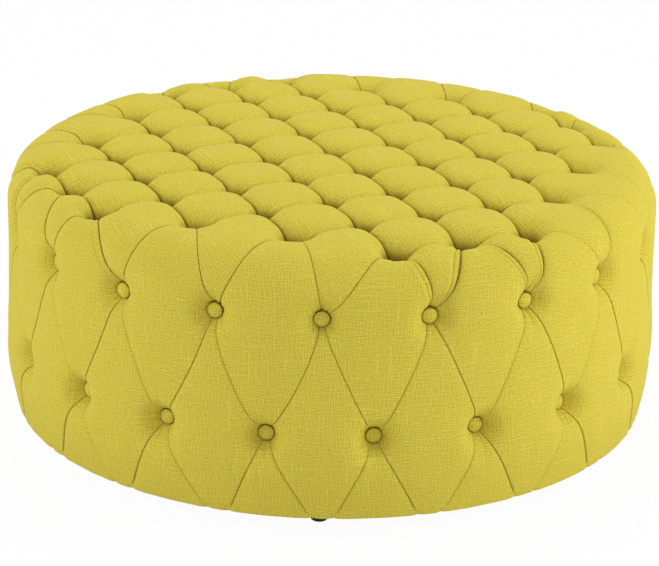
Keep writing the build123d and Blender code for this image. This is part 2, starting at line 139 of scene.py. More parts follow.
# How far sideways the middle of a pleat lies, steadily and by chance. Those over the rim, clockwise and
# anticlockwise of their tall panel, lie off by one amount near the rim and another near the button. Right
# of the front a tall panel's clockwise edge drifts into it.
TALL_PANEL_BOW = 9 * MM
TALL_PANEL_DRIFT = 14 * MM
DRIFT_RATE = 2.5
SHOULDER_BOWS = {-1: (-10 * MM, 15 * MM), 1: (8 * MM, 6 * MM)}
HEM_BOW = 9 * MM
BOW_CHANCES = {"top": 2.5 * MM, "rim": 3 * MM, "upper": 6 * MM, "lower": 5 * MM, "hem": 0}

# Where the padding swells or falls short of the plain form: heights, widths and amounts
SHOULDER_EASE = (415 * MM, 42 * MM, -3.5 * MM)
BELLY_SWELL = (125 * MM, 80 * MM, 8 * MM)

# Small unevenness of the padding: a panel's swelling, creases that run out from a button, and ripples,
# whose two waves have a rate each, and a warp across them with its strength, rate and shift
SWELL = 1.2 * MM
CREASE_DEPTHS = {"top": 0.6 * MM, "rim": 1.2 * MM, "upper": 2.2 * MM, "lower": 1.8 * MM, "hem": 0}
CREASE_COUNTS = (4, 9, 13)
CREASE_UNEVENNESS = 0.6
CREASE_START = BUTTON_RADIUS - 2 * MM
CREASE_RISE = 6 * MM
CREASE_REACH = 15 * MM
RIPPLE_DEPTH = 0.35 * MM
RIPPLE_WAVES = ((61, 2.1, 47, 0), (73, 1.7, 53, 1))

# Painted shade that darkens the cloth's colour: how deep the padding lies where it starts and where it is
# darkest, near the buttons of the top and of the side, and how wide and dark the painted shade line in a
# fold is
TOP_SHADE_DEPTHS = {"top": (10 * MM, 28 * MM), "rim": (14 * MM, 34 * MM)}
SIDE_SHADE_DEPTHS = (19 * MM, 34 * MM)
FOLD_SHADE_WIDTH = 0.8 * MM
FOLD_SHADE_DARKNESS = 0.46

# The folded edges of the pleats
GROOVE_DEPTH = 1.8 * MM
GROOVE_WIDTH = 1.3 * MM
LIP_RISE = 0.7 * MM
LIP_WIDTH = 1.6 * MM
LIP_OVERLAP = 0.5 * MM
PLEAT_FADE = 13 * MM
SEAM_TURN_IN = 10 * MM

# Some pleats over the rim are pulled in harder: the number their chance starts from puts the strongest
# where the photograph has them. They lie deeper and further off, and the painted shade line in their fold
# is wider and darker.
PULL_CHANCE = 1376
PULLED_DEPTH = 4 * MM
PULLED_BOW = 5 * MM
PULLED_SHADE_WIDTH = 1.7 * MM
PULLED_SHADE_DARKNESS = 0.5

# The second fold beside such a pleat: how far off, how deep, how wide and how dark its painted shade is,
# and the cloth's swell beyond it
TUCK_OFFSET = 11 * MM
TUCK_DEPTH = 2.6 * MM
TUCK_WIDTH = 2.4 * MM
TUCK_SHADE_DARKNESS = 0.3
TUCK_SWELL_OFFSET = 6 * MM
TUCK_SWELL_WIDTH = 4.8 * MM
TUCK_SWELL_SHARE = 0.5

# Mesh fineness: cells along a side of each corner patch, how long the first is and how fast they grow,
# how many more there are round a button's edge, and how close the points lie that are welded
TOP_CELLS = 26
SIDE_CELLS = 31
CELL_START = 0.35 * MM
CELL_GROWTH = 0.13
CELL_SAMPLES = 500
EDGE_CELLS = 450
EDGE_SPREAD = 4 * MM
COVER_WELD = 0.005 * MM
COPY_WELD = 0.0001 * MM

# Underside: how far the dust cover sags, puckers at its staples and wrinkles, and how far round a foot
# it is pressed flat
DUST_COVER_RADIUS = 450 * MM
DUST_COVER_HEIGHT = 24.3 * MM
DUST_COVER_ROWS = 60
DUST_COVER_ROW_POWER = 0.7
DUST_COVER_SAG = 3 * MM
PUCKER_DEPTH = 1.1 * MM
PUCKER_REACH = 30 * MM
WRINKLE_DEPTH = 0.4 * MM
WRINKLES_ROUND = 9
WRINKLE_TWIST = 40
FOOT_PRESS = 20 * MM
STAPLES = 40
STAPLE_CIRCLE_RADIUS = 441 * MM
POINTS_PER_STAPLE = 8

# Feet
FOOT_HEIGHT = 24 * MM
FOOT_TOP_RADIUS = 14 * MM
FOOT_BOTTOM_RADIUS = 12.5 * MM
FOOT_CIRCLE_RADIUS = 439 * MM
FOOT_RECESS_RADIUS = 5.5 * MM
FOOT_RECESS_DEPTH = 12.6 * MM
FOOT_RECESS_BEVEL = 0.3 * MM
FOOT_MOUTH_BEVEL = 0.8 * MM
FOOT_COLLAR_HEIGHT = 1.8 * MM
FOOT_COLLAR_STEP = 0.4 * MM
FOOT_HOLE_RADIUS = 2.7 * MM
FOOT_EDGE = 3 * MM
FOOT_SEGMENTS = 64
FOOT_ANGLES = [math.radians(63 + 90 * k) for k in range(4)]

# Tones of the cloth, and its weave: how fine its noises are along and across a yarn, how far on the
# dark side of a yarn lies, and how strongly each shows
CHARTREUSE = (0.61, 0.510, 0.062)
BUTTON_TONE = (0.62, 0.515, 0.062)
# The dark tint that the painted shade in folds and deep hollows multiplies the cloth's colour towards
PAINTED_SHADE_TINT = (0.36, 0.29, 0.14)
YARN_FINENESS = (75, 540)
YARN_SHIFT = 0.65
YARN_STRENGTH = 0.26
GRAIN_FINENESS = (520, 500)
GRAIN_SHIFT = 0.5
GRAIN_STRENGTH = 0.20
SLUB_FINENESS = (12, 480)
SLUB_RANGE = (0.66, 0.80)
SLUB_STRENGTH = 0.09

# Stage: places in metres from the middle, powers in watts
Lamp = namedtuple("Lamp", "to_right to_front height size power")
LAMPS = {
    "right_lamp": Lamp(3.1, 1.0, 1.7, 2.0, 54),
    "left_lamp": Lamp(-3.2, 1.1, 1.7, 2.0, 39),
    "back_lamp": Lamp(0, -2.2, 3.2, 2.2, 31),
}
LAMP_AIM_HEIGHT = 0.25
WORLD_STRENGTH = 0.67
FLOOR_REACH = 12.0
FLOOR_TONE = (0.85, 0.85, 0.85)
FLOOR_WHITENESS = 0.96

TOP_FLAT_RADIUS = OUTER_RADIUS - RIM_RADIUS
RIM_END = TOP_FLAT_RADIUS + RIM_RADIUS * math.pi / 2
SHOULDER_HEIGHT = CROWN_HEIGHT - RIM_RADIUS
HEM_CROWN_RADIUS = OUTER_RADIUS - HEM_DRAW_IN

Tuft = namedtuple("Tuft", "x y sink ring")

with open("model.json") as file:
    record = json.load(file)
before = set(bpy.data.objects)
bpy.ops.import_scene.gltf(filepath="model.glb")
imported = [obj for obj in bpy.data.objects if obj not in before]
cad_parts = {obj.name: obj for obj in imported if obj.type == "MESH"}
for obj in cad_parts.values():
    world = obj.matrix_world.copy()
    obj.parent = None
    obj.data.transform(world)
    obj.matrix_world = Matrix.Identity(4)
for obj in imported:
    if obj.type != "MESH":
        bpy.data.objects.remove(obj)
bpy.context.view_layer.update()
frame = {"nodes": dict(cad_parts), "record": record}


# The unrolled cover

def on_circle(radius, angle):
    return radius * math.cos(angle), radius * math.sin(angle)


def angle_of(tuft):
    return math.atan2(tuft.y, tuft.x)


def middle_of(tuft, other):
    return (tuft.x + other.x) / 2, (tuft.y + other.y) / 2


def turn_between(start, end):
    """The signed angle from one direction to another, within half a turn."""
    return (end - start + math.pi) % (2 * math.pi) - math.pi


def unrolled_distance(height):
    """How far from the middle of the unrolled cover a height of the side lies."""
    return RIM_END + SHOULDER_HEIGHT - height


def chance(x, y, kind):
    """A repeatable number from -1 to 1 for a place, another for each kind of chance."""
    by_x, by_y, by_kind = CHANCE_FACTORS
    wave = math.sin(round(x, 4) * by_x + round(y, 4) * by_y + kind * by_kind) * CHANCE_SPREAD
    return 2 * (wave - math.floor(wave)) - 1


def form_points(x, y, sink):
    """The places in space of points of the unrolled cover, sunk inwards."""
    along = np.hypot(x, y)
    flat = np.minimum(along, TOP_FLAT_RADIUS)
    tilt = np.clip((along - TOP_FLAT_RADIUS) / RIM_RADIUS, 0, math.pi / 2)
    lean = tilt ** 2 * 2 / math.pi
    down = np.maximum(along - RIM_END, 0)
    height = SHOULDER_HEIGHT + RIM_RADIUS * np.cos(tilt) - down
    height = height + MIDDLE_RISE * (1 - (flat / TOP_FLAT_RADIUS) ** 2)
    below = np.clip((HEM_HEIGHT + DRAW_IN_HEIGHT - height) / DRAW_IN_HEIGHT, 0, 1)
    rounding = np.clip((HEM_HEIGHT + HEM_ROUNDING - height) / HEM_ROUNDING, 0, 1)
    radius = flat + RIM_RADIUS * np.sin(tilt)
    radius = radius - HEM_DRAW_IN * below ** 2 - HEM_ROUNDING * (1 - np.sqrt(1 - rounding ** 2))
    radius = radius - sink * np.sin(lean)
    height = height - sink * np.cos(lean)
    angle = np.arctan2(y, x)
    return np.stack([radius * np.cos(angle), radius * np.sin(angle), height], axis=-1)


# The tufts and the panels between them

def lattice():
    reach = int(LATTICE_REACH) + 1
    steps = range(-reach, reach + 1)
    return [(i, j) for i in steps for j in steps if math.hypot(i, j) <= LATTICE_REACH]


def boundary(nodes):
    """The outermost top buttons, anticlockwise from +X: those with a missing neighbour."""
    steps = ((1, 0), (-1, 0), (0, 1), (0, -1))
    outer = [n for n in nodes if any((n[0] + a, n[1] + b) not in nodes for a, b in steps)]
    return sorted(outer, key=lambda n: math.atan2(n[1], n[0]) % (2 * math.pi))


NODES = lattice()
BOUNDARY = boundary(NODES)
SIDE_COUNT = len(BOUNDARY)
SIDE_STEP = 2 * math.pi / SIDE_COUNT
TOP_RINGS = {"top", "rim"}


def top_tuft(node):
    ring = "rim" if node in BOUNDARY else "top"
    return Tuft(node[0] * LATTICE_PITCH, node[1] * LATTICE_PITCH, TOP_BUTTON_SINK, ring)


def upper_tuft(m):
    place = on_circle(unrolled_distance(UPPER_RING_HEIGHT), (m + 1 / 2) * SIDE_STEP)
    return Tuft(*place, SIDE_BUTTON_SINK, "upper")


def lower_tuft(m):
    place = on_circle(unrolled_distance(LOWER_RING_HEIGHT), m * SIDE_STEP)
    return Tuft(*place, SIDE_BUTTON_SINK, "lower")


def hem_tuft(m, side):
    """Where the pleat on one side (-1 or 1) of a lower button meets the hem."""
    spread = HEM_PLEAT_SPREAD + HEM_PLEAT_CHANCE * chance(m % SIDE_COUNT, side, HEM_CHANCE)
    angle = (m + side / 2) * SIDE_STEP + (HEM_PLEAT_SHIFT - side * spread) / HEM_CROWN_RADIUS
    return Tuft(*on_circle(unrolled_distance(HEM_HEIGHT), angle), HEM_SINK, "hem")


def lobe(m):
    """The panel that rolls over the rim from two boundary buttons to the upper button between them."""
    first, second = BOUNDARY[m], BOUNDARY[(m + 1) % SIDE_COUNT]
    corners = [top_tuft(first), upper_tuft(m), top_tuft(second)]
    if first[0] != second[0] and first[1] != second[1]:
        inner = min((first[0], second[1]), (second[0], first[1]), key=lambda n: math.hypot(*n))
        corners.append(top_tuft(inner))
    return corners


def top_panels():
    cells = [[(i, j), (i + 1, j), (i + 1, j + 1), (i, j + 1)] for i, j in NODES]
    pillows = [[top_tuft(n) for n in cell] for cell in cells if all(n in NODES for n in cell)]
    return pillows + [lobe(m) for m in range(SIDE_COUNT)]


def side_panels():
    """For each step of the side: the tall diamond, the wide panel beside it and the triangle below."""
    panels = []
    for m in range(SIDE_COUNT):
        last, this, lower, following = upper_tuft(m - 1), upper_tuft(m), lower_tuft(m), lower_tuft(m + 1)
        panels.append([top_tuft(BOUNDARY[m]), last, lower, this])
        panels.append([this, lower, hem_tuft(m, 1), hem_tuft(m + 1, -1), following])
        panels.append([lower, hem_tuft(m, -1), hem_tuft(m, 1)])
    return panels


# Surfaces of the panels

def between(start, end, share, straight):
    """Points on the way between two points: straight, or at a steady turn about the middle."""
    if straight:
        return np.stack([a + (b - a) * share for a, b in zip(start, end)], axis=-1)
    near, far = math.hypot(*start), math.hypot(*end)
    angle = math.atan2(start[1], start[0])
    turn = turn_between(angle, math.atan2(end[1], end[0]))
    radius = near + (far - near) * share
    angles = angle + turn * share
    return np.stack([radius * np.cos(angles), radius * np.sin(angles)], axis=-1)


def panel_side(tuft, other):
    """Which side of its tall panel a pleat at an upper button is: 1 anticlockwise and -1 clockwise."""
    upper, axis = (tuft, other) if tuft.ring == "upper" else (other, tuft)
    return math.copysign(1, turn_between(angle_of(axis), angle_of(upper)))


def pull(tuft, other):
    """How much harder than the others a pleat over the rim is pulled in, from 0 to 1."""
    if {tuft.ring, other.ring} != {"rim", "upper"}:
        return 0.0
    return max(0.0, chance(*middle_of(tuft, other), PULL_CHANCE))


def bow(tuft, other, share):
    """How far a pleat lies anticlockwise of its straight way, at a share of its length."""
    middle_x, middle_y = middle_of(tuft, other)
    amount = chance(middle_x, middle_y, BOW_CHANCE) * min(BOW_CHANCES[tuft.ring], BOW_CHANCES[other.ring])
    rings = {tuft.ring, other.ring}
    if rings == {"rim", "upper"}:
        near_rim, near_button = SHOULDER_BOWS[panel_side(tuft, other)]
        from_rim = share if tuft.ring == "rim" else 1 - share
        amount += near_rim + (near_button - near_rim) * from_rim + PULLED_BOW * pull(tuft, other)
    to_right = math.sin(math.atan2(middle_y, middle_x) - FRONT_ANGLE)
    if rings == {"upper", "lower"}:
        side = panel_side(tuft, other)
        drift = TALL_PANEL_DRIFT * smooth(DRIFT_RATE * to_right)
        amount += side * TALL_PANEL_BOW + (1 - side) / 2 * drift
    if rings == {"lower", "hem"}:
        amount += HEM_BOW * to_right
    return amount * 4 * share * (1 - share)


def pleat_route(tuft, other, share):
    """Points at shares of a pleat's way over the unrolled cover."""
    straight = bool(TOP_RINGS & {tuft.ring, other.ring})
    route = between(tuft[:2], other[:2], share, straight)
    inner, outer = sorted((tuft, other), key=lambda end: (round(math.hypot(end.x, end.y), 6), end.x))
    sideways = np.array([inner.y - outer.y, outer.x - inner.x]) / span(inner, outer)
    return route + np.multiply.outer(bow(tuft, other, share), sideways)


def pleat_of(tuft, other):
    """How this one pleat lies, with its own depth."""
    pleat = PLEATS[tuft.ring, other.ring]
    luck = chance(*middle_of(tuft, other), DEPTH_CHANCE)
    depth = pleat.middle * (1 + PLEAT_UNEVENNESS * luck) + PULLED_DEPTH * pull(tuft, other)
    return pleat._replace(middle=depth)


def panel_centre(panel, straight):
    """Where a panel stands highest: its corners' mean, by x and y or by distance and angle."""
    if straight:
        return tuple(sum(values) / len(panel) for values in zip(*[tuft[:2] for tuft in panel]))
    first = angle_of(panel[0])
    turns = [turn_between(first, angle_of(tuft)) for tuft in panel]
    distance = sum(math.hypot(tuft.x, tuft.y) for tuft in panel) / len(panel)
    return on_circle(distance, first + sum(turns) / len(panel))


def fall(share, length, width):
    """From 1 down to 0, about as fast as that width over a length, and level at its end."""
    return (1 - share) ** max(2.0, length / width)


def cushion_fall(share, fullness):
    """From 1 down to 0 as a cushion's edge comes up: upright at first, and level at its crown."""
    share = np.clip(share, 0, 1)
    return 1 - (1 - (1 - share) ** fullness) ** (1 / fullness)


def real_distance(place, start):
    """How far points of the unrolled cover lie from a start on the real form, where the side is
    narrower than it is unrolled."""
    gap = place - start
    along = np.maximum(np.hypot(place[..., 0], place[..., 1]), MM)
    outward = (gap * place).sum(axis=-1) / along
    sideways = (gap[..., 1] * place[..., 0] - gap[..., 0] * place[..., 1]) / along
    tilt = np.clip((along - TOP_FLAT_RADIUS) / RIM_RADIUS, 0, math.pi / 2)
    real_radius = np.minimum(along, TOP_FLAT_RADIUS) + RIM_RADIUS * np.sin(tilt)
    return np.hypot(outward, sideways * real_radius / along)


def reach_window(u, v):
    """1 near a button, and 0 at the far edges of its patches."""
    return (1 - u ** 3) ** 2 * (1 - v ** 3) ** 2


def dimple(ring, distance):
    """The share of a button's sink at a distance from it."""
    shape = DIMPLES[ring]
    wall = cushion_fall((distance - shape.seat) / shape.reach, shape.fullness)
    broad = 1 / (1 + (distance / shape.broad_radius) ** BROAD_STEEPNESS)
    return (1 - shape.broad_share) * wall + shape.broad_share * broad


def valley(pleat, along, across, half_length, width):
    """How deep the padding lies beside a pleat: along and across are shares of the two lengths."""
    start = 1 - np.exp(-(along * half_length / PLEAT_START) ** 2)
    depth = pleat.middle + pleat.extra * fall(along, half_length, PLEAT_START)
    if pleat.fullness:
        return depth * start * cushion_fall(across, pleat.fullness)
    narrow = fall(across, width, pleat.width)
    wide = fall(across, width, WIDE_BEND_FACTOR * pleat.width)
    return depth * start * ((1 - WIDE_BEND_SHARE) * narrow + WIDE_BEND_SHARE * wide)


def creases(tuft, place, distance):
    """Narrow folds that run out from a button, none of them like the next."""
    angle = np.arctan2(place[..., 1] - tuft.y, place[..., 0] - tuft.x)
    waves = 0
    for k, count in enumerate(CREASE_COUNTS):
        turn = math.pi * chance(tuft.x, tuft.y, CREASE_TURN_CHANCE + k)
        waves = waves + np.cos(count * angle + turn) / len(CREASE_COUNTS)
    start = smooth((distance - CREASE_START) / CREASE_RISE)
    luck = chance(tuft.x, tuft.y, CREASE_DEPTH_CHANCE)
    strength = CREASE_DEPTHS[tuft.ring] * (1 + CREASE_UNEVENNESS * luck)
    return strength * waves * start * np.exp(-(distance - BUTTON_RADIUS) / CREASE_REACH)


def ripples(place):
    """Slight waves of the cloth all over."""
    x, y = place[..., 0], place[..., 1]
    waves = 0
    for (along, across), (rate, warp, warp_rate, shift) in zip(((x, y), (y, x)), RIPPLE_WAVES):
        waves = waves + np.sin(rate * along + warp * np.sin(warp_rate * across + shift))
    return RIPPLE_DEPTH * waves / len(RIPPLE_WAVES)


def form_padding(place):
    """How far the padding stands out from the plain form, by height."""
    level = SHOULDER_HEIGHT + RIM_END - np.hypot(place[..., 0], place[..., 1])
    return sum(amount * np.exp(-((level - middle) / width) ** 2)
               for middle, width, amount in (SHOULDER_EASE, BELLY_SWELL))


def panel_lies_over(panel, tuft, other):
    """Whether this panel's edge is the one folded over its neighbour's at the pleat: on the top the one
    further back, over the rim the one clockwise of the pleat, and on the side the higher one."""
    rings = {tuft.ring, other.ring}
    centre = panel_centre(panel, False)
    middle = pleat_route(tuft, other, 1 / 2)
    if rings <= TOP_RINGS:
        return np.dot(np.subtract(centre, middle), on_circle(1, FRONT_ANGLE)) < 0
    if rings == {"rim", "upper"}:
        tall = any(corner.ring == "lower" for corner in panel)
        return tall == (panel_side(tuft, other) > 0)
    return math.hypot(*centre) < math.hypot(*middle)


def fold(distance, over):
    """How a pleat's edge lies, by distance from its line: how far it rises and how far it laps over."""
    rise = -GROOVE_DEPTH * np.exp(-distance / GROOVE_WIDTH)
    if not over:
        return rise, np.zeros_like(distance)
    lip = distance / LIP_WIDTH * np.exp(1 - distance / LIP_WIDTH)
    rise = -GROOVE_DEPTH * np.exp(-2 * distance / GROOVE_WIDTH) + LIP_RISE * lip
    return rise, LIP_OVERLAP * distance / GROOVE_WIDTH * np.exp(1 - distance / GROOVE_WIDTH)


def tuck(tuft, other, share, distance):
    """How strongly the second fold beside a pleat is bent in, by distance from the pleat."""
    off = distance - TUCK_OFFSET * share * (2 - share)
    bend = np.exp(-(off / TUCK_WIDTH) ** 2)
    swell = np.exp(-((off - TUCK_SWELL_OFFSET) / TUCK_SWELL_WIDTH) ** 2)
    return pull(tuft, other) * (bend - TUCK_SWELL_SHARE * swell) * smooth(share * 2)


def fold_line_shade(tuft, other, share, distance):
    """How dark the painted shade line in a pleat's fold is, by distance from it."""
    pulled = pull(tuft, other) * smooth(share)
    width = FOLD_SHADE_WIDTH + PULLED_SHADE_WIDTH * pulled
    return (FOLD_SHADE_DARKNESS + PULLED_SHADE_DARKNESS * pulled) * np.exp(-(distance / width) ** 2)


def smooth(share):
    """From 0 to 1 as a share grows, level at both ends."""
    share = np.clip(share, 0, 1)
    return share ** 2 * (3 - 2 * share)


def span(start, end):
    return math.hypot(end[0] - start[0], end[1] - start[1])


def cell_shares(cells, length):
    """Where the cells of a patch's side end: close at the pleat's fold and round the button's edge."""
    steps = np.linspace(0, length, CELL_SAMPLES)
    density = 1 / (CELL_START + CELL_GROWTH * steps)
    density += EDGE_CELLS * np.exp(-((steps - BUTTON_RADIUS) / EDGE_SPREAD) ** 2)
    total = np.cumsum(density) - density[0]
    return np.interp(np.arange(cells + 1) / cells, total / total[-1], steps / length)


TOP_SHARES = cell_shares(TOP_CELLS, LATTICE_PITCH / 2)
SIDE_SHARES = cell_shares(SIDE_CELLS, (UPPER_RING_HEIGHT - LOWER_RING_HEIGHT) / 2)


def patch_place(tuft, following, last, crown, shares, straight):
    """The places of a patch between its button, the middles of its two pleats and the panel's crown."""
    next_mid = pleat_route(tuft, following, 1 / 2)
    last_mid = pleat_route(tuft, last, 1 / 2)
    u, v = shares[:, None, None], shares[None, :, None]
    low = pleat_route(tuft, following, shares / 2)[:, None, :]
    left = pleat_route(tuft, last, shares / 2)[None, :, :]
    high = between(last_mid, crown, shares, straight)[:, None, :]
    right = between(next_mid, crown, shares, straight)[None, :, :]
    return (
        (1 - v) * low + v * high + (1 - u) * left + u * right
        - (1 - u) * (1 - v) * np.array(tuft[:2]) - u * (1 - v) * next_mid
        - (1 - u) * v * last_mid - u * v * np.array(crown)
    )


def padding_sink(tuft, ends, crown, place, distance, u, v):
    """How deep a patch's padding lies under the plain form, before its pleats are folded."""
    drawn_in = dimple(tuft.ring, distance) * reach_window(u, v)
    sink = 0
    for other, along, across in ((ends[0], u, v), (ends[1], v, u)):
        middle = pleat_route(tuft, other, 1 / 2)
        sink = sink + valley(pleat_of(tuft, other), along, across, span(tuft, middle), span(middle, crown))
    return (
        sink
        + tuft.sink * drawn_in
        + creases(tuft, place, distance) * reach_window(u, v)
        + SWELL * chance(*crown, SWELL_CHANCE) * smooth(u) * smooth(v)
        + ripples(place) * smooth(distance / PLEAT_START)
        - form_padding(place) * (1 - drawn_in)
    )


def corner_patch(panel, k):
    """The unrolled x and y, the sink and the painted shade of the part of a panel next to its corner k."""
    tuft, following, last = panel[k], panel[(k + 1) % len(panel)], panel[k - 1]
    straight = all(corner.ring in TOP_RINGS or corner.ring == "upper" for corner in panel)
    shares = TOP_SHARES if straight else SIDE_SHARES
    u, v = shares[:, None], shares[None, :]
    crown = panel_centre(panel, straight)
    place = patch_place(tuft, following, last, crown, shares, straight)
    from_tuft = real_distance(place, np.array(tuft[:2]))
    sink = padding_sink(tuft, (following, last), crown, place, from_tuft, u, v)
    # Painted shade: the cloth's colour is darkened where the padding lies deep
    start, end = TOP_SHADE_DEPTHS.get(tuft.ring, SIDE_SHADE_DEPTHS)
    painted_shade = smooth((sink - start) / (end - start))
    fade = smooth((from_tuft - BUTTON_RADIUS / 2) / PLEAT_FADE)
    for other, line, share in ((following, place[:, :1], u), (last, place[:1, :], v)):
        if tuft.ring == other.ring == "hem":
            continue
        gap = line - place
        distance = real_distance(place, line)
        over = panel_lies_over(panel, tuft, other)
        rise, lap = fold(distance, over)
        sink = sink - rise * fade
        # Painted shade line along the pleat's fold
        painted_shade = np.maximum(painted_shade, fade * fold_line_shade(tuft, other, share, distance))
        if over:
            bend = tuck(tuft, other, share, distance) * fade
            sink = sink + TUCK_DEPTH * bend
            # Painted shade in the second fold
            painted_shade = np.maximum(painted_shade, TUCK_SHADE_DARKNESS * bend ** 3)
        place = place + gap / np.maximum(distance, TINY)[..., None] * (lap * fade)[..., None]
    return place, sink, painted_shade


def grid_faces(rows, columns):
    """The corner numbers of the cells of a grid of points."""
    first = (np.arange(rows - 1)[:, None] * columns + np.arange(columns - 1)[None, :]).ravel()
    return np.stack([first, first + columns, first + columns + 1, first + 1], axis=-1)


def top_cloth(place):
    """Where the weave of the top's cloth lies: it runs along the lattice."""
    return place


def side_cloth(place):
    """Where the weave of the side's cloth lies: level and upright."""
    angle = np.arctan2(place[..., 1], place[..., 0])
    along = np.hypot(place[..., 0], place[..., 1])
    return np.stack([angle * OUTER_RADIUS, -along], axis=-1)


def strip(points, cloth, painted_shade, steps):
    """The points, cloth places and painted shade of a band that starts at a row of points and goes on by
    some steps away from it."""
    steps = [np.zeros_like(points), *steps]
    rows, places = [], []
    for step in steps:
        rows.append(points + step)
        places.append(cloth + np.stack([np.zeros(len(step)), -np.linalg.norm(step, axis=-1)], axis=-1))
    return np.stack(rows), np.stack(places), np.stack([painted_shade] * len(rows))


def hem_steps(points):
    """The steps from the hem's edge level inwards under the frame."""
    radius = np.hypot(points[:, 0], points[:, 1])[:, None]
    inward = -points / radius * (1, 1, 0)
    return [inward * reach for reach in (*HEM_ROWS, radius - HEM_INNER_RADIUS)]


def panel_pieces(panel, cloth_of):
    """For a panel, its corner patches and what turns in from them: points, cloth places, painted shade,
    and whether the faces are turned round."""
    pieces = []
    for k, tuft in enumerate(panel):
        place, sink, painted_shade = corner_patch(panel, k)
        points = form_points(place[..., 0], place[..., 1], sink)
        cloth = cloth_of(place)
        pieces.append((points, cloth, painted_shade, False))
        edges = ((panel[(k + 1) % len(panel)], np.s_[:, 0], True), (panel[k - 1], np.s_[0, :], False))
        for other, row, flip in edges:
            rings = {tuft.ring, other.ring}
            if rings == {"hem"}:
                steps = hem_steps(points[row])
                pieces.append((*strip(points[row], cloth[row], painted_shade[row], steps), flip))
            if rings == {"rim", "upper"}:
                deeper = form_points(place[row][:, 0], place[row][:, 1], sink[row] + SEAM_TURN_IN)
                pieces.append((*strip(points[row], cloth[row], painted_shade[row], [deeper - points[row]]), flip))
    return pieces


def cloth_mesh(name, panels, cloth_of):
    """One skin over some panels, with the place in the weave and the painted shade kept on its points."""
    vertices, faces, weave, painted_shades, start = [], [], [], [], 0
    for panel in panels:
        for points, cloth, painted_shade, flip in panel_pieces(panel, cloth_of):
            rows, columns = points.shape[:2]
            cells = grid_faces(rows, columns)
            if flip:
                cells = cells[:, ::-1]
            vertices.append(points.reshape(-1, 3))
            weave.append(cloth.reshape(-1, 2))
            painted_shades.append(painted_shade.ravel())
            faces.append(cells + start)
            start += rows * columns
    mesh = smooth_mesh(name, np.concatenate(vertices), np.concatenate(faces).tolist())
    keep_weave(mesh, np.concatenate(weave))
    # The painted shade is kept on the points for the cloth's material
    layer = mesh.attributes.new("painted_shade", "FLOAT", "POINT")
    layer.data.foreach_set("value", np.concatenate(painted_shades).astype(np.float32))
    merge_close(mesh, COVER_WELD)
    return mesh


def smooth_mesh(name, points, faces):
    mesh = bpy.data.meshes.new(name)
    mesh.from_pydata(points.tolist(), [], faces)
    mesh.polygons.foreach_set("use_smooth", [True] * len(mesh.polygons))
    return mesh


def keep_weave(mesh, places):
    """Keeps where each point of a mesh lies in the cloth's weave."""
    layer = mesh.attributes.new("weave", "FLOAT_VECTOR", "POINT")
    values = np.zeros((len(places), 3), np.float32)
    values[:, :2] = places
    layer.data.foreach_set("vector", values.ravel())


def merge_close(mesh, distance):
    made = bmesh.new()
    made.from_mesh(mesh)
    bmesh.ops.remove_doubles(made, verts=made.verts, dist=distance)
    made.to_mesh(mesh)
    made.free()


# Materials

class Tree:
    """Short calls for building a node tree."""

    def __init__(self, tree):
        self.tree = tree

    def feed(self, socket, value):
        """Sets an input to a value, or links another node's output to it."""
        if isinstance(value, bpy.types.NodeSocket):
            self.tree.links.new(value, socket)
        else:
            socket.default_value = value

    def node(self, kind, inputs=None, **settings):
        """A new node with its settings, and with its inputs fed by name or number."""
        node = self.tree.nodes.new(kind)
        for key, value in settings.items():
            setattr(node, key, value)
        for key, value in (inputs or {}).items():
            self.feed(node.inputs[key], value)
        return node

    def math(self, operation, first, second):
        return self.node("ShaderNodeMath", {0: first, 1: second}, operation=operation).outputs[0]

    def mix_shaders(self, share, first, second, output):
        """Shows two shaders on the surface, the second of them by a share."""
        mix = self.node("ShaderNodeMixShader", {0: share, 1: first.outputs[0], 2: second.outputs[0]})
        self.feed(self.tree.nodes[output].inputs["Surface"], mix.outputs[0])


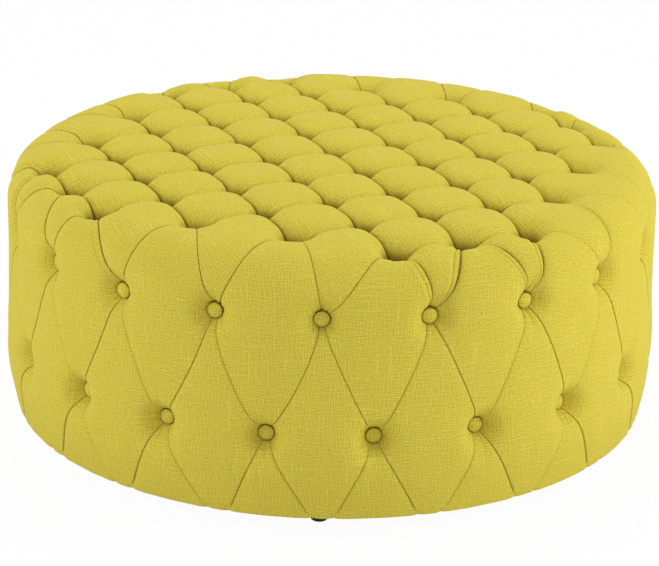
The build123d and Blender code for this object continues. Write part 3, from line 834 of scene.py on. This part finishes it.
class Finish(Tree):
    """A new material, with short calls for the textures that its shader is fed."""

    def __init__(self, name, color, roughness, sheen=0.0, metallic=0.0):
        self.material = bpy.data.materials.new(name)
        self.material.use_nodes = True
        super().__init__(self.material.node_tree)
        self.shader = self.tree.nodes["Principled BSDF"]
        self.show("Base Color", (*color, 1))
        self.show("Roughness", roughness)
        self.show("Sheen Weight", sheen)
        self.show("Metallic", metallic)

    def show(self, name, value):
        self.feed(self.shader.inputs[name], value)

    def coordinates(self, scale=(1, 1, 1), woven=False, shift=(0, 0, 0)):
        """Places on the piece, or in its weave, scaled and shifted."""
        if woven:
            start = self.node("ShaderNodeAttribute", attribute_name="weave").outputs["Vector"]
        else:
            start = self.node("ShaderNodeTexCoord").outputs["Object"]
        inputs = {"Vector": start, "Scale": scale, "Location": shift}
        return self.node("ShaderNodeMapping", inputs).outputs["Vector"]

    def noise(self, scale, woven=False, shift=(0, 0, 0), detail=2.0, roughness=0.5):
        vector = self.coordinates(scale, woven, shift)
        inputs = {"Vector": vector, "Scale": 1, "Detail": detail, "Roughness": roughness}
        return self.node("ShaderNodeTexNoise", inputs).outputs["Fac"]

    def spread(self, value, low, high, start=0.0, end=1.0):
        """The value's range from low to high brought to the range from start to end."""
        inputs = {0: value, 1: low, 2: high, 3: start, 4: end}
        return self.node("ShaderNodeMapRange", inputs).outputs["Result"]

    def colors(self, value, *stops):
        """A colour ramp through (place, colour) stops."""
        node = self.node("ShaderNodeValToRGB", {"Fac": value})
        ramp = node.color_ramp
        while len(ramp.elements) < len(stops):
            ramp.elements.new(0.5)
        for element, (place, color) in zip(ramp.elements, stops):
            element.position = place
            element.color = (*color, 1)
        return node.outputs["Color"]

    def bump(self, height, strength, distance):
        inputs = {"Height": height, "Strength": strength, "Distance": distance}
        self.show("Normal", self.node("ShaderNodeBump", inputs).outputs["Normal"])

    def yarns(self, scale, shift):
        """Yarns as light and dark pairs: noise less the same noise a little further on."""
        here = self.noise(scale, woven=True, detail=0)
        beside = self.noise(scale, woven=True, shift=shift, detail=0)
        return self.math("SUBTRACT", here, beside)

    def slubs(self, scale):
        """The few places where a noise is strong enough for a thicker yarn."""
        return self.spread(self.noise(scale, woven=True, detail=0), *SLUB_RANGE)


def shade(color, factor):
    return tuple(channel * factor for channel in color)


def linen(name, color):
    """A slubby plain weave: fine yarns both ways, thicker slubs here and there, and a faint sheen."""
    finish = Finish(name, color, roughness=0.9, sheen=0.01)
    across = finish.yarns((*YARN_FINENESS, 1), (0, YARN_SHIFT, 0))
    upright = finish.yarns((*YARN_FINENESS[::-1], 1), (YARN_SHIFT, 0, 0))
    grain = finish.yarns((*GRAIN_FINENESS, 1), (GRAIN_SHIFT, GRAIN_SHIFT, 0))
    slubs = finish.math("ADD", finish.slubs((*SLUB_FINENESS, 1)), finish.slubs((*SLUB_FINENESS[::-1], 1)))
    yarns = finish.math("MULTIPLY", finish.math("ADD", across, upright), YARN_STRENGTH)
    woven = finish.math("ADD", yarns, finish.math("MULTIPLY", grain, GRAIN_STRENGTH))
    woven = finish.math("ADD", woven, finish.math("MULTIPLY", slubs, SLUB_STRENGTH))
    tone = finish.math("ADD", woven, 0.5)
    dark = (color[0] * 0.80, color[1] * 0.78, color[2] * 0.66)
    cloth = finish.colors(tone, (0.37, dark), (0.505, color), (0.64, shade(color, 1.18)))
    # Painted shade: the woven colour is multiplied towards a dark tint in folds and deep hollows
    painted_shade = finish.node("ShaderNodeAttribute", attribute_name="painted_shade").outputs["Fac"]
    inputs = {"Fac": painted_shade, "Color1": cloth, "Color2": (*PAINTED_SHADE_TINT, 1)}
    shaded = finish.node("ShaderNodeMixRGB", inputs, blend_type="MULTIPLY")
    finish.show("Base Color", shaded.outputs["Color"])
    finish.bump(tone, strength=0.35, distance=0.4 * MM)
    finish.show("Specular IOR Level", 0.15)
    finish.show("Sheen Roughness", 0.45)
    return finish.material


def plastic(name, color):
    """Moulded plastic, a little worn and finely grained."""
    finish = Finish(name, color, roughness=0.42)
    grain = finish.noise((900, 900, 900), detail=3)
    worn = finish.noise((60, 60, 60), detail=4)
    finish.show("Roughness", finish.spread(worn, low=0.3, high=0.7, start=0.34, end=0.55))
    finish.show("Base Color", finish.colors(worn, (0.3, shade(color, 0.8)), (0.7, shade(color, 1.5))))
    finish.bump(grain, strength=0.2, distance=0.1 * MM)
    finish.show("Specular IOR Level", 0.15)
    return finish.material


def wood(name, color, dark, ring_scale):
    """Sawn timber with growth rings stretched along its length."""
    finish = Finish(name, color, roughness=0.62)
    rings = finish.noise((ring_scale, ring_scale * 9, ring_scale * 9), detail=5, roughness=0.62)
    pores = finish.noise((60, 1400, 1400))
    tone = finish.math("ADD", finish.math("MULTIPLY", rings, 0.8), finish.math("MULTIPLY", pores, 0.2))
    finish.show("Base Color", finish.colors(tone, (0.35, dark), (0.65, color)))
    finish.bump(tone, strength=0.3, distance=0.2 * MM)
    return finish.material


def metal(name, color):
    """Plated metal with fine flakes."""
    finish = Finish(name, color, roughness=0.35, metallic=1.0)
    flakes = finish.noise((500, 500, 500), detail=3)
    finish.show("Roughness", finish.spread(flakes, low=0.3, high=0.7, start=0.26, end=0.5))
    finish.show("Base Color", finish.colors(flakes, (0.3, shade(color, 0.85)), (0.7, shade(color, 1.1))))
    return finish.material


def felted(name, color):
    """Pressed or bonded fibres with a dimpled emboss."""
    finish = Finish(name, color, roughness=0.9, sheen=0.05)
    fibres = finish.noise((1200, 1200, 1200), detail=4, roughness=0.7)
    cells = finish.node("ShaderNodeTexVoronoi", {"Vector": finish.coordinates(), "Scale": 420})
    dimples = finish.math("MULTIPLY", cells.outputs["Distance"], 0.5)
    tone = finish.math("ADD", finish.math("MULTIPLY", fibres, 0.6), dimples)
    finish.show("Base Color", finish.colors(tone, (0.25, shade(color, 0.7)), (0.75, shade(color, 1.35))))
    finish.bump(tone, strength=0.5, distance=0.25 * MM)
    return finish.material


def twisted(name, color):
    """Laid twine: slanting strands."""
    finish = Finish(name, color, roughness=0.75, sheen=0.1)
    inputs = {"Vector": finish.coordinates(), "Scale": 900}
    inputs |= {"Distortion": 1.2, "Detail": 1, "Detail Scale": 0.4}
    wave = finish.node("ShaderNodeTexWave", inputs, bands_direction="DIAGONAL")
    strands = wave.outputs["Fac"]
    finish.show("Base Color", finish.colors(strands, (0.1, shade(color, 0.72)), (0.8, color)))
    finish.bump(strands, strength=0.6, distance=0.2 * MM)
    return finish.material


def slot_materials():
    """The finish of each material slot that a carried node uses."""
    return {
        "button_back": metal("tin", (0.55, 0.55, 0.56)),
        "twine": twisted("waxed_twine", (0.78, 0.74, 0.65)),
        "toggle": plastic("toggle_plastic", (0.62, 0.62, 0.60)),
        "plywood": wood("plywood", (0.68, 0.52, 0.34), (0.50, 0.35, 0.20), ring_scale=5.0),
        "softwood": wood("softwood", (0.78, 0.62, 0.42), (0.62, 0.44, 0.26), ring_scale=8.0),
        "zinc_steel": metal("zinc", (0.62, 0.62, 0.62)),
        "dust_cloth": felted("dust_cloth", (0.02, 0.02, 0.02)),
        "foot_plastic": plastic("foot_plastic", (0.008, 0.008, 0.008)),
    }


def dress_carried_nodes(finishes):
    """Gives the nodes of the model that no piece replaces their finishes."""
    for row in frame["record"]["subparts"]:
        finish = finishes.get(row["material_slot"])
        if finish is None:
            continue
        materials = frame["nodes"][row["node"]].data.materials
        materials.clear()
        materials.append(finish)


# Pieces

def add_object(name, data):
    made = bpy.data.objects.new(name, data)
    bpy.context.scene.collection.objects.link(made)
    return made


def add_piece(name, mesh, finish, slot, *nodes):
    """A piece of the object that stands for some nodes of the model."""
    piece = add_object(name, mesh)
    mesh.materials.append(finish)
    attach(piece, "root")
    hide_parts(*nodes)
    return piece


def round_faces(rows, count, start=0):
    """The corner numbers of the faces between rows of points that each go once round."""
    low = start + np.arange((rows - 1) * count).reshape(-1, count)
    after = np.roll(low, -1, axis=1)
    return np.stack([low, after, after + count, low + count], axis=-1).reshape(-1, 4).tolist()


def lathe(profile, segments):
    """Points and faces of a turned shape from (radius, height) pairs, closed where the radius is zero."""
    angles = np.arange(segments) / segments * 2 * math.pi
    rings = []
    for radius, height in profile:
        x, y = radius * np.cos(angles), radius * np.sin(angles)
        rings.append(np.stack([x, y, np.full(segments, height)], axis=-1))
    return np.concatenate(rings), round_faces(len(profile), segments)


def placed_copies(name, points, faces, matrices):
    """One mesh that holds a copy of a shape at each place, each cut from another spot of the cloth."""
    vertices, weave, cells = [], [], []
    for k, matrix in enumerate(matrices):
        start = k * len(points)
        vertices.append(points @ np.array(matrix.to_3x3()).T + np.array(matrix.translation))
        weave.append(points[:, :2] + k * BUTTON_CLOTH_STEP)
        cells += [[corner + start for corner in face] for face in faces]
    mesh = smooth_mesh(name, np.concatenate(vertices), cells)
    keep_weave(mesh, np.concatenate(weave))
    merge_close(mesh, COPY_WELD)
    mesh.set_sharp_from_angle(angle=BUTTON_SHARP_ANGLE)
    return mesh


def seat_matrix(tuft):
    """The place of a button: its vertex on the cover, with Z along its twine."""
    point = Vector(form_points(tuft.x, tuft.y, tuft.sink).tolist())
    if tuft.ring in TOP_RINGS:
        return Matrix.Translation(point)
    outward = Vector((point.x, point.y, 0)).normalized()
    turn = outward.to_track_quat("Z", "Y").to_matrix().to_4x4()
    return Matrix.Translation(point) @ turn


def button_profile(seat_height):
    """The covered cap from under its edge, round it, and over the dome."""
    dome_radius = (BUTTON_RADIUS ** 2 + BUTTON_RISE ** 2) / (2 * BUTTON_RISE)
    centre = seat_height + BUTTON_EDGE + BUTTON_RISE - dome_radius
    profile = [(0, seat_height + BUTTON_HOLLOW)]
    profile += [(BUTTON_RADIUS - inside, seat_height + over) for inside, over in BUTTON_EDGE_POINTS]
    for radius in BUTTON_DOME_RADII:
        profile.append((radius, centre + math.sqrt(dome_radius ** 2 - radius ** 2)))
    return profile


def make_buttons(name, tufts, seat_height, finish):
    points, faces = lathe(button_profile(seat_height), BUTTON_SEGMENTS)
    mesh = placed_copies(name, points, faces, [seat_matrix(tuft) for tuft in tufts])
    add_piece(name + "_covered", mesh, finish, "button_fabric", name)


def make_cover():
    finish = linen("linen_cover", CHARTREUSE)
    top_mesh = cloth_mesh("tufted_top", top_panels(), top_cloth)
    side_mesh = cloth_mesh("tufted_side", side_panels(), side_cloth)
    top = add_piece("tufted_top", top_mesh, finish, "cover_fabric", "cover_top", "foam_top")
    side = add_piece("tufted_side", side_mesh, finish, "cover_fabric",
                     "cover_side", "foam_side", "wadding")


def make_feet(finish):
    """Round plastic feet with a rounded tread, a slight taper and a recess for the screw's head."""
    tread = []
    for angle in np.radians(range(0, 90, 20)):
        inside, over = FOOT_EDGE * (1 - math.sin(angle)), FOOT_EDGE * (1 - math.cos(angle))
        tread.append((FOOT_BOTTOM_RADIUS - inside, over))
    collar = FOOT_HEIGHT - FOOT_COLLAR_HEIGHT
    profile = [
        (FOOT_HOLE_RADIUS, FOOT_RECESS_DEPTH),
        (FOOT_RECESS_RADIUS - FOOT_RECESS_BEVEL, FOOT_RECESS_DEPTH),
        (FOOT_RECESS_RADIUS, FOOT_RECESS_DEPTH - FOOT_RECESS_BEVEL),
        (FOOT_RECESS_RADIUS, FOOT_MOUTH_BEVEL),
        (FOOT_RECESS_RADIUS + FOOT_MOUTH_BEVEL, 0),
        *tread,
        (FOOT_TOP_RADIUS - FOOT_COLLAR_STEP, collar - FOOT_COLLAR_STEP),
        (FOOT_TOP_RADIUS, collar),
        (FOOT_TOP_RADIUS, FOOT_HEIGHT),
        (FOOT_HOLE_RADIUS, FOOT_HEIGHT),
        (FOOT_HOLE_RADIUS, FOOT_RECESS_DEPTH),
    ]
    points, faces = lathe(profile, FOOT_SEGMENTS)
    places = [Matrix.Translation((*on_circle(FOOT_CIRCLE_RADIUS, angle), 0)) for angle in FOOT_ANGLES]
    mesh = placed_copies("moulded_feet", points, [face[::-1] for face in faces], places)
    add_piece("moulded_feet", mesh, finish, "foot_plastic", "feet")


def dust_cover_height(x, y):
    """The black cloth hangs a little between its staples and puckers towards each of them."""
    radius, angle = np.hypot(x, y), np.arctan2(y, x)
    outwards = smooth(radius / STAPLE_CIRCLE_RADIUS)
    to_edge = np.exp(-np.maximum(STAPLE_CIRCLE_RADIUS - radius, 0) / PUCKER_REACH)
    pucker = PUCKER_DEPTH * to_edge * (1 - np.cos(STAPLES * angle + math.pi)) / 2
    sag = DUST_COVER_SAG * (1 - outwards)
    wrinkle = WRINKLE_DEPTH * np.sin(WRINKLES_ROUND * angle + WRINKLE_TWIST * radius) * outwards
    free = np.ones_like(radius)
    for foot_angle in FOOT_ANGLES:
        foot_x, foot_y = on_circle(FOOT_CIRCLE_RADIUS, foot_angle)
        free *= smooth((np.hypot(x - foot_x, y - foot_y) - FOOT_TOP_RADIUS) / FOOT_PRESS)
    return DUST_COVER_HEIGHT - (pucker + sag + wrinkle * (1 - to_edge)) * free


def make_dust_cover(finish):
    """A stapled disc of thin cloth, with its rows of points closer together towards the staples."""
    radii = DUST_COVER_RADIUS * np.linspace(0, 1, DUST_COVER_ROWS + 1)[1:] ** DUST_COVER_ROW_POWER
    count = STAPLES * POINTS_PER_STAPLE
    angles = np.arange(count) / count * 2 * math.pi
    x, y = np.outer(radii, np.cos(angles)), np.outer(radii, np.sin(angles))
    points = np.stack([x, y, dust_cover_height(x, y)], axis=-1).reshape(-1, 3)
    points = np.concatenate([[[0, 0, dust_cover_height(0, 0)]], points])
    faces = [[0, 1 + (k + 1) % count, 1 + k] for k in range(count)]
    faces += round_faces(DUST_COVER_ROWS, count, start=1)
    mesh = smooth_mesh("stapled_dust_cover", points, faces)
    piece = add_piece("stapled_dust_cover", mesh, finish, "dust_cloth", "dust_cover")


def make_all_buttons():
    finish = linen("linen_buttons", BUTTON_TONE)
    steps = range(SIDE_COUNT)
    make_buttons("top_buttons", [top_tuft(node) for node in NODES], TOP_SEAT_HEIGHT, finish)
    make_buttons("upper_side_buttons", [upper_tuft(m) for m in steps], SIDE_SEAT_HEIGHT, finish)
    make_buttons("lower_side_buttons", [lower_tuft(m) for m in steps], SIDE_SEAT_HEIGHT, finish)


# Stage, light and camera

def make_camera():
    """A camera in the photograph's place."""
    turn, rise = CAMERA_TURN, CAMERA_ELEVATION
    right = Vector((math.cos(turn), -math.sin(turn), 0))
    back = Vector((-math.cos(rise) * math.sin(turn), -math.cos(rise) * math.cos(turn), math.sin(rise)))
    up = back.cross(right)
    rolled_right = right * math.cos(CAMERA_ROLL) + up * math.sin(CAMERA_ROLL)
    rolled_up = up * math.cos(CAMERA_ROLL) - right * math.sin(CAMERA_ROLL)
    data = bpy.data.cameras.new("camera")
    data.lens = CAMERA_LENS
    camera = add_object("camera", data)
    target = right * TARGET_SHIFT + Vector((0, 0, TARGET_HEIGHT))
    axes = Matrix((rolled_right, rolled_up, back)).transposed().to_4x4()
    camera.matrix_world = Matrix.Translation(target + back * CAMERA_DISTANCE) @ axes
    bpy.context.scene.camera = camera
    return right, back


def seen_directly(tree):
    """1 for a ray from the camera, a reflection or clear glass, and 0 for one that gathers light."""
    path = tree.node("ShaderNodeLightPath")
    seen = path.outputs["Is Camera Ray"]
    for kind in ("Is Glossy Ray", "Is Transmission Ray"):
        seen = tree.math("MAXIMUM", seen, path.outputs[kind])
    return seen


def make_floor():
    """A pale floor that the camera sees nearly white, with the object's shadow still on it."""
    mesh = bpy.data.meshes.new("floor")
    corners = [(x * FLOOR_REACH, y * FLOOR_REACH, 0) for x, y in ((-1, -1), (1, -1), (1, 1), (-1, 1))]
    mesh.from_pydata(corners, [], [(0, 1, 2, 3)])
    finish = Finish("pale_floor", FLOOR_TONE, roughness=0.9)
    share = finish.math("MULTIPLY", seen_directly(finish), FLOOR_WHITENESS)
    finish.mix_shaders(share, finish.shader, finish.node("ShaderNodeEmission"), "Material Output")
    mesh.materials.append(finish.material)
    floor = add_object("floor", mesh)


def make_world():
    """Even soft light from all round, and plain white where the camera looks past the object."""
    world = bpy.data.worlds.new("studio")
    bpy.context.scene.world = world
    world.use_nodes = True
    tree = Tree(world.node_tree)
    shown = world.node_tree.nodes["Background"]
    lighting = tree.node("ShaderNodeBackground")
    for background, strength in ((shown, 1), (lighting, WORLD_STRENGTH)):
        tree.feed(background.inputs["Color"], (1, 1, 1, 1))
        tree.feed(background.inputs["Strength"], strength)
    tree.mix_shaders(seen_directly(tree), lighting, shown, "World Output")


def make_lamp(name, place, size, power):
    """A round lamp at a place, aimed at the object."""
    data = bpy.data.lights.new(name, "AREA")
    data.shape = "DISK"
    data.size = size
    data.energy = power
    lamp = add_object(name, data)
    lamp.location = place
    aim = Vector((0, 0, LAMP_AIM_HEIGHT)) - place
    lamp.rotation_mode = "QUATERNION"
    lamp.rotation_quaternion = aim.to_track_quat("-Z", "Y")


def make_lamps(right, back):
    """A broad lamp high on the right, a weaker one on the left, and one above and behind."""
    front = Vector((back.x, back.y, 0)).normalized()
    for name, lamp in LAMPS.items():
        place = right * lamp.to_right + front * lamp.to_front + Vector((0, 0, lamp.height))
        make_lamp(name, place, lamp.size, lamp.power)


bpy.context.scene.view_settings.view_transform = "Standard"
finishes = slot_materials()
make_cover()
make_all_buttons()
make_feet(finishes["foot_plastic"])
make_dust_cover(finishes["dust_cloth"])
dress_carried_nodes(finishes)
right, back = make_camera()
make_floor()
make_world()
make_lamps(right, back)
